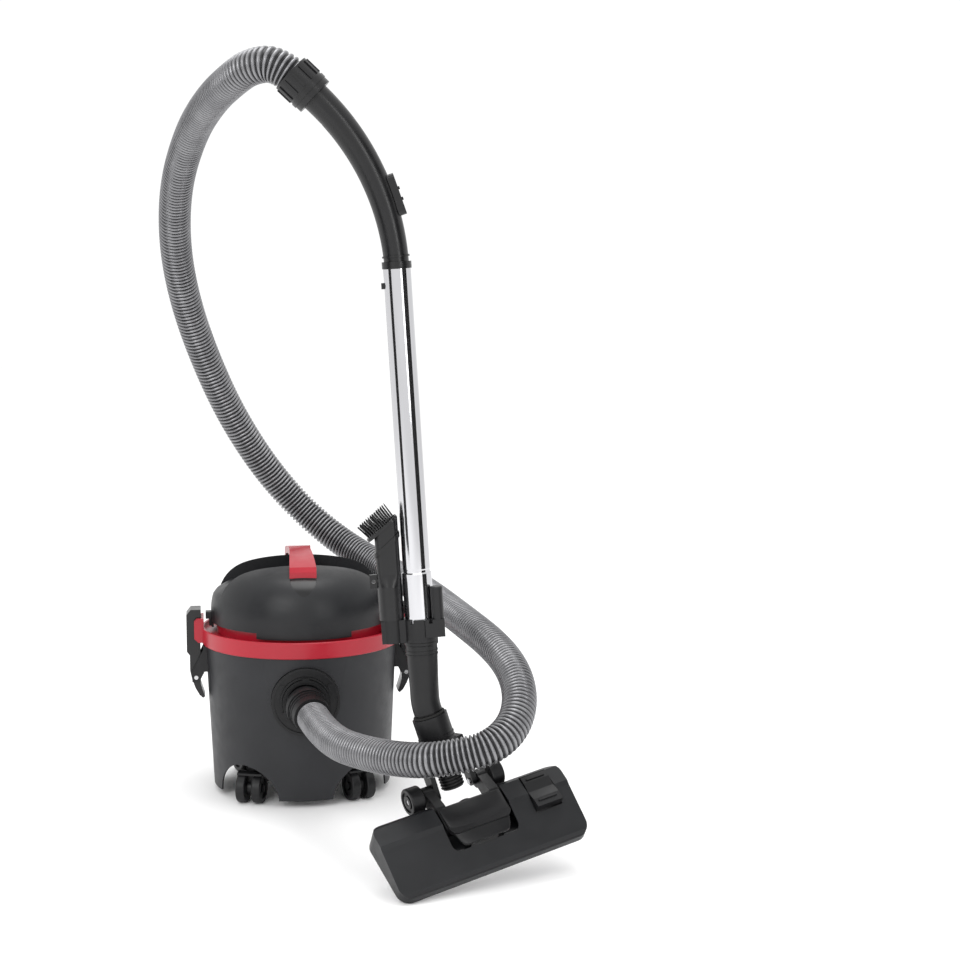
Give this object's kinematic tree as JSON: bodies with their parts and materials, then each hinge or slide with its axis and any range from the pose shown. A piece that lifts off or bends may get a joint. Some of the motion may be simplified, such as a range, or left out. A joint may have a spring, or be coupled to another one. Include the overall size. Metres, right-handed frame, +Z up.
{
  "type": "canister vacuum cleaner",
  "caption": "Tub vacuum cleaner on castors with a lift-off motor head, corrugated hose, chromed wand with curved grip and a hinged floor head.",
  "frame": {"origin": "on the floor, under the centre of the bounding box of everything but the hose", "axes": "+Z up and along the longest extent, +X to the right seen from the inlet side, +Y from the inlet side to the exhaust side"},
  "size_m": [0.549, 0.8073, 1.0631],
  "materials": {
    "black_plastic": "fine matt moulded black",
    "charcoal_plastic": "fine matt moulded charcoal",
    "red_plastic": "satin red",
    "hose_plastic": "silver grey, corrugated",
    "chrome": "bright chrome plate",
    "steel": "bright steel",
    "motor_steel": "zinc-plated sheet steel",
    "copper": "enamelled copper windings on laminated steel",
    "rubber": "black rubber",
    "paper": "filter paper and card",
    "cloth": "white filter cloth",
    "foam": "open-cell foam",
    "bristle": "stiff nylon tufts"
  },
  "bodies": {
    "tub": {"tub": "charcoal_plastic", "rim_band": "red_plastic", "rim_gasket": "rubber", "cloth_filter": "cloth", "dust_bag": "paper", "bag_collar": "paper", "inlet_flange": "charcoal_plastic", "inlet_cuff": "black_plastic", "latch_brackets": "black_plastic", "latch_pins": "steel", "hose": "hose_plastic", "grip_handle": "black_plastic", "wand_tube": "chrome", "tool_holder": "black_plastic", "neck": "black_plastic", "neck_seal": "rubber"},
    "motor_head": {"head_base": "black_plastic", "head_cover": "charcoal_plastic", "cover_screws": "steel", "exhaust_grille": "black_plastic", "exhaust_filter": "foam", "cable_gland": "rubber", "carry_handle": "red_plastic", "power_switch": "black_plastic", "motor_case": "motor_steel", "fan_case": "motor_steel", "motor_bearings": "motor_steel", "motor_ring": "rubber", "filter_basket": "black_plastic", "suppressor": "black_plastic"},
    "rotor": {"armature": "copper", "impeller": "black_plastic"},
    "power_button": {"power_button": "black_plastic"},
    "latch_left": {"latch_left": "black_plastic"},
    "latch_right": {"latch_right": "black_plastic"},
    "lock_collar": {"lock_collar": "black_plastic"},
    "swivel_cuff": {"swivel_cuff": "black_plastic"},
    "suction_slider": {"suction_slider": "black_plastic"},
    "snap_button": {"snap_button": "black_plastic"},
    "combo_tool": {"combo_tool": "black_plastic", "tool_brush": "bristle"},
    "swivel": {"swivel_collar": "black_plastic", "flex_hose": "black_plastic"},
    "yoke": {"yoke": "black_plastic", "hinge_pins": "steel"},
    "roller_left": {"roller_left": "black_plastic"},
    "roller_right": {"roller_right": "black_plastic"},
    "nozzle": {"nozzle_cover": "charcoal_plastic", "nozzle_base": "black_plastic", "sole_plate": "steel"},
    "pedal": {"pedal": "black_plastic"},
    "brush_strip": {"brush_strip": "bristle"},
    "castor_1": {"castor_fork_1": "black_plastic"},
    "wheels_1": {"castor_wheels_1": "black_plastic"},
    "castor_2": {"castor_fork_2": "black_plastic"},
    "wheels_2": {"castor_wheels_2": "black_plastic"},
    "castor_3": {"castor_fork_3": "black_plastic"},
    "wheels_3": {"castor_wheels_3": "black_plastic"},
    "castor_4": {"castor_fork_4": "black_plastic"},
    "wheels_4": {"castor_wheels_4": "black_plastic"}
  },
  "joints": [
    {"name": "head_lift", "type": "slide", "parent": "tub", "child": "motor_head", "axis": [0, 0, 1], "range_m": [0, 0.12]},
    {"name": "rotor_spin", "type": "hinge", "parent": "motor_head", "child": "rotor", "pos_m": [-0.0905, 0.217, 0.259], "axis": [0, 0, 1], "continuous": true},
    {"name": "power_press", "type": "slide", "parent": "motor_head", "child": "power_button", "axis": [0, 0, -1], "range_m": [0, 0.003], "stiffness_N_per_m": 300, "springref_m": -0.002},
    {"name": "latch_left_swing", "type": "hinge", "parent": "tub", "child": "latch_left", "pos_m": [-0.2465, 0.217, 0.1725], "axis": [0, -1, 0], "range_deg": [0, 8]},
    {"name": "latch_right_swing", "type": "hinge", "parent": "tub", "child": "latch_right", "pos_m": [0.0655, 0.217, 0.1725], "axis": [0, 1, 0], "range_deg": [0, 8]},
    {"name": "lock_collar_turn", "type": "hinge", "parent": "tub", "child": "lock_collar", "pos_m": [-0.0905, 0.067, 0.16], "axis": [0, 1, 0], "range_deg": [0, 30]},
    {"name": "castor_1_swivel", "type": "hinge", "parent": "tub", "child": "castor_1", "pos_m": [-0.1645, 0.139, 0.049], "axis": [0, 0, 1], "continuous": true},
    {"name": "wheels_1_roll", "type": "hinge", "parent": "castor_1", "child": "wheels_1", "pos_m": [-0.16883, 0.12568, 0.0215], "axis": [0.9511, -0.309, 0], "continuous": true},
    {"name": "castor_2_swivel", "type": "hinge", "parent": "tub", "child": "castor_2", "pos_m": [-0.0165, 0.139, 0.049], "axis": [0, 0, 1], "continuous": true},
    {"name": "wheels_2_roll", "type": "hinge", "parent": "castor_2", "child": "wheels_2", "pos_m": [-0.01171, 0.12584, 0.0215], "axis": [0.9397, 0.342, 0], "continuous": true},
    {"name": "castor_3_swivel", "type": "hinge", "parent": "tub", "child": "castor_3", "pos_m": [-0.0165, 0.295, 0.049], "axis": [0, 0, 1], "continuous": true},
    {"name": "wheels_3_roll", "type": "hinge", "parent": "castor_3", "child": "wheels_3", "pos_m": [-0.01171, 0.30816, 0.0215], "axis": [-0.9397, 0.342, 0], "continuous": true},
    {"name": "castor_4_swivel", "type": "hinge", "parent": "tub", "child": "castor_4", "pos_m": [-0.1645, 0.295, 0.049], "axis": [0, 0, 1], "continuous": true},
    {"name": "wheels_4_roll", "type": "hinge", "parent": "castor_4", "child": "wheels_4", "pos_m": [-0.17042, 0.30769, 0.0215], "axis": [-0.9063, -0.4226, 0], "continuous": true},
    {"name": "hose_cuff_turn", "type": "hinge", "parent": "tub", "child": "swivel_cuff", "pos_m": [-0.07973, -0.20996, 0.99709], "axis": [-0.7228, 0.0521, 0.6891], "continuous": true},
    {"name": "suction_slide", "type": "slide", "parent": "tub", "child": "suction_slider", "axis": [-0.3316, 0.0313, 0.9429], "range_m": [-0.005, 0.005]},
    {"name": "snap_press", "type": "slide", "parent": "tub", "child": "snap_button", "axis": [0.9964, -0.06, 0.06], "range_m": [0, 0.003], "stiffness_N_per_m": 400, "springref_m": -0.002},
    {"name": "tool_lift", "type": "slide", "parent": "tub", "child": "combo_tool", "axis": [-0.0592, 0.0153, 0.9981], "range_m": [0, 0.045]},
    {"name": "neck_swivel", "type": "hinge", "parent": "tub", "child": "swivel", "pos_m": [0.06893, -0.23006, 0.17063], "axis": [-0.3058, 0.0537, 0.9506], "range_deg": [-12, 12]},
    {"name": "yoke_tilt", "type": "hinge", "parent": "swivel", "child": "yoke", "pos_m": [0.08728, -0.23328, 0.1136], "axis": [-0.9105, -0.3744, -0.1754], "range_deg": [0, 45]},
    {"name": "roller_left_spin", "type": "hinge", "parent": "yoke", "child": "roller_left", "pos_m": [0.03264, -0.25574, 0.10307], "axis": [0.9105, 0.3744, 0.1754], "continuous": true},
    {"name": "roller_right_spin", "type": "hinge", "parent": "yoke", "child": "roller_right", "pos_m": [0.14191, -0.21082, 0.12412], "axis": [0.9105, 0.3744, 0.1754], "continuous": true},
    {"name": "nozzle_rock", "type": "hinge", "parent": "yoke", "child": "nozzle", "pos_m": [0.10899, -0.26961, 0.07842], "axis": [-0.9105, -0.3744, -0.1754], "range_deg": [0, 7]},
    {"name": "pedal_rock", "type": "hinge", "parent": "nozzle", "child": "pedal", "pos_m": [0.20041, -0.23588, 0.10197], "axis": [-0.9105, -0.3744, -0.1754], "range_deg": [0, 12]},
    {"name": "brush_drop", "type": "slide", "parent": "nozzle", "child": "brush_strip", "axis": [-0.1091, 0.6267, -0.7715], "range_m": [0, 0.005]}
  ],
  "couplings": [
    {"joint": "brush_drop", "follows": "pedal_rock", "m_per_rad": 0.0238}
  ]
}
